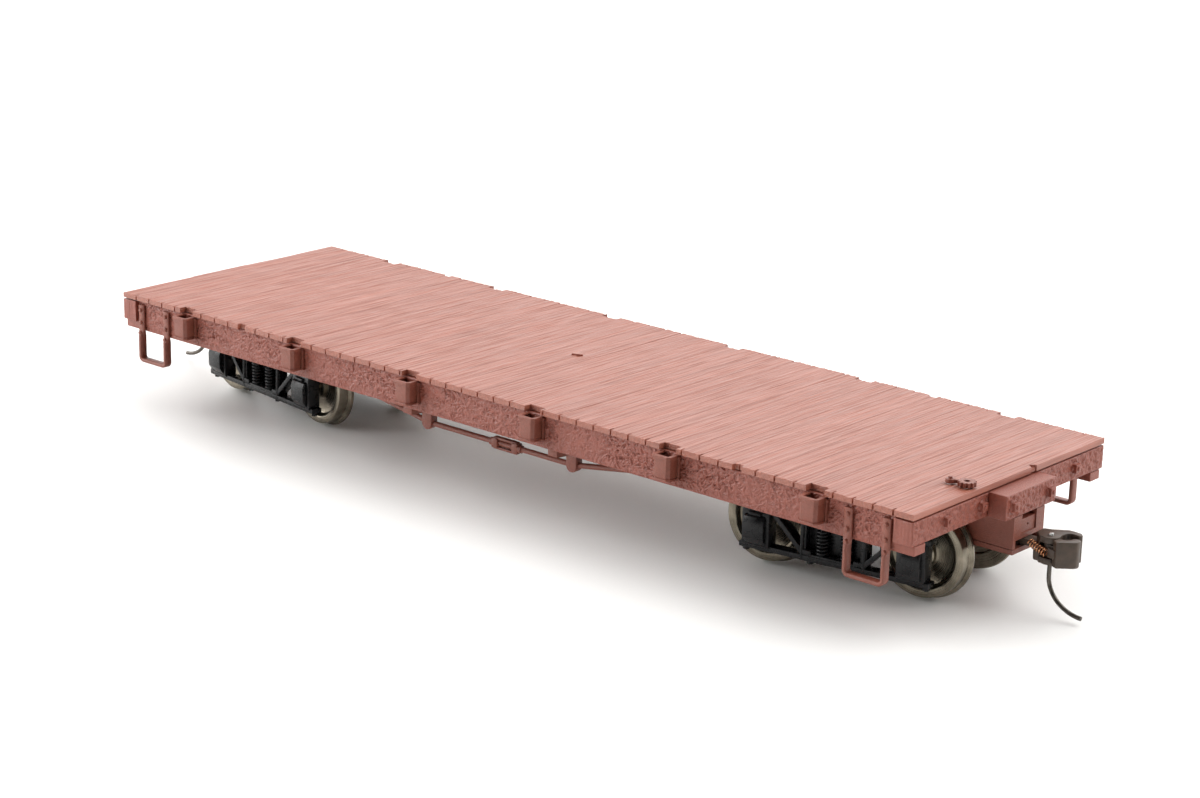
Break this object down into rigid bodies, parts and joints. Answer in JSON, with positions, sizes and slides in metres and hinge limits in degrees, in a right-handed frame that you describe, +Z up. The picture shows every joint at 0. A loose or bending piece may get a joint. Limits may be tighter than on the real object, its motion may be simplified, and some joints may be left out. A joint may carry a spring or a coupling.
{
  "type": "model flat car",
  "caption": "Model railway flat car: planked deck on timber-style sills, swivelling archbar trucks with rolling wheels, and sprung knuckle couplers.",
  "frame": {"origin": "on the ground under the middle of the car, where the wheel flanges stand", "axes": "+X along the car to end A, which has the brake ratchet; +Z up; -Y is the near side in the picture"},
  "size_m": [0.192, 0.0536, 0.0207],
  "materials": {
    "deck_paint": "matte oxide red over wood-grain relief",
    "sill_paint": "matte oxide red over coarse timber relief",
    "body_paint": "matte oxide red",
    "truck_plastic": "satin black",
    "wheel_metal": "turned, nickel plated, darkened",
    "coupler_plastic": "satin brown",
    "trip_wire": "blackened",
    "steel": "plain"
  },
  "bodies": {
    "car_body": {"deck": "deck_paint", "side_sill_near": "sill_paint", "side_sill_far": "sill_paint", "end_sill_a": "sill_paint", "end_sill_b": "sill_paint", "buffer_block_a": "sill_paint", "buffer_block_b": "sill_paint", "draft_gear_box_a": "body_paint", "draft_gear_box_b": "body_paint", "draft_gear_lid_a": "body_paint", "draft_gear_lid_b": "body_paint", "centre_sill": "body_paint", "ballast_plate": "steel", "body_bolster_a": "body_paint", "body_bolster_b": "body_paint", "needle_beam_a": "body_paint", "needle_beam_b": "body_paint", "truss_rod_near": "body_paint", "truss_rod_far": "body_paint", "brake_ratchet": "body_paint", "brake_pawl": "body_paint", "kingpin_a": "steel", "kingpin_b": "steel", "stake_pocket_near_1": "body_paint", "stake_pocket_near_2": "body_paint", "stake_pocket_near_3": "body_paint", "stake_pocket_near_4": "body_paint", "stake_pocket_near_5": "body_paint", "stake_pocket_near_6": "body_paint", "stake_pocket_far_1": "body_paint", "stake_pocket_far_2": "body_paint", "stake_pocket_far_3": "body_paint", "stake_pocket_far_4": "body_paint", "stake_pocket_far_5": "body_paint", "stake_pocket_far_6": "body_paint", "stirrup_step_near_a": "body_paint", "stirrup_step_near_b": "body_paint", "stirrup_step_far_a": "body_paint", "stirrup_step_far_b": "body_paint"},
    "truck_a": {"side_frame_a_near": "truck_plastic", "side_frame_a_far": "truck_plastic", "truck_bolster_a": "truck_plastic"},
    "wheelset_a1": {"axle_a1": "wheel_metal", "insulated_wheel_a1": "wheel_metal"},
    "wheelset_a2": {"axle_a2": "wheel_metal", "insulated_wheel_a2": "wheel_metal"},
    "swing_coupler_a": {"coupler_a": "coupler_plastic", "trip_pin_a": "trip_wire"},
    "jaw_a": {"knuckle_a": "coupler_plastic"},
    "truck_b": {"side_frame_b_near": "truck_plastic", "side_frame_b_far": "truck_plastic", "truck_bolster_b": "truck_plastic"},
    "wheelset_b1": {"axle_b1": "wheel_metal", "insulated_wheel_b1": "wheel_metal"},
    "wheelset_b2": {"axle_b2": "wheel_metal", "insulated_wheel_b2": "wheel_metal"},
    "swing_coupler_b": {"coupler_b": "coupler_plastic", "trip_pin_b": "trip_wire"},
    "jaw_b": {"knuckle_b": "coupler_plastic"}
  },
  "joints": [
    {"name": "truck_a_swivel", "type": "hinge", "parent": "car_body", "child": "truck_a", "pos_m": [0.0598, 0, 0.01275], "axis": [0, 0, 1], "range_deg": [-16, 0]},
    {"name": "wheelset_a1_roll", "type": "hinge", "parent": "truck_a", "child": "wheelset_a1", "pos_m": [0.07243, 0.00177, 0.0073], "axis": [-0.1392, 0.9903, 0], "continuous": true},
    {"name": "wheelset_a2_roll", "type": "hinge", "parent": "truck_a", "child": "wheelset_a2", "pos_m": [0.04717, -0.00177, 0.0073], "axis": [-0.1392, 0.9903, 0], "continuous": true},
    {"name": "coupler_a_swing", "type": "hinge", "parent": "car_body", "child": "swing_coupler_a", "pos_m": [0.0786, 0, 0.0106], "axis": [0, 0, 1], "range_deg": [-8, 8], "stiffness_Nm_per_rad": 0.0002},
    {"name": "knuckle_a_open", "type": "hinge", "parent": "swing_coupler_a", "child": "jaw_a", "pos_m": [0.0907, -0.0009, 0.01055], "axis": [0, 0, 1], "range_deg": [-20, 0], "stiffness_Nm_per_rad": 0.0001},
    {"name": "truck_b_swivel", "type": "hinge", "parent": "car_body", "child": "truck_b", "pos_m": [-0.0598, 0, 0.01275], "axis": [0, 0, 1], "range_deg": [0, 16]},
    {"name": "wheelset_b1_roll", "type": "hinge", "parent": "truck_b", "child": "wheelset_b1", "pos_m": [-0.07243, 0.00177, 0.0073], "axis": [0.1392, 0.9903, 0], "continuous": true},
    {"name": "wheelset_b2_roll", "type": "hinge", "parent": "truck_b", "child": "wheelset_b2", "pos_m": [-0.04717, -0.00177, 0.0073], "axis": [0.1392, 0.9903, 0], "continuous": true},
    {"name": "coupler_b_swing", "type": "hinge", "parent": "car_body", "child": "swing_coupler_b", "pos_m": [-0.0786, 0, 0.0106], "axis": [0, 0, 1], "range_deg": [-8, 8], "stiffness_Nm_per_rad": 0.0002},
    {"name": "knuckle_b_open", "type": "hinge", "parent": "swing_coupler_b", "child": "jaw_b", "pos_m": [-0.0907, 0.0009, 0.01055], "axis": [0, 0, 1], "range_deg": [-20, 0], "stiffness_Nm_per_rad": 0.0001}
  ]
}
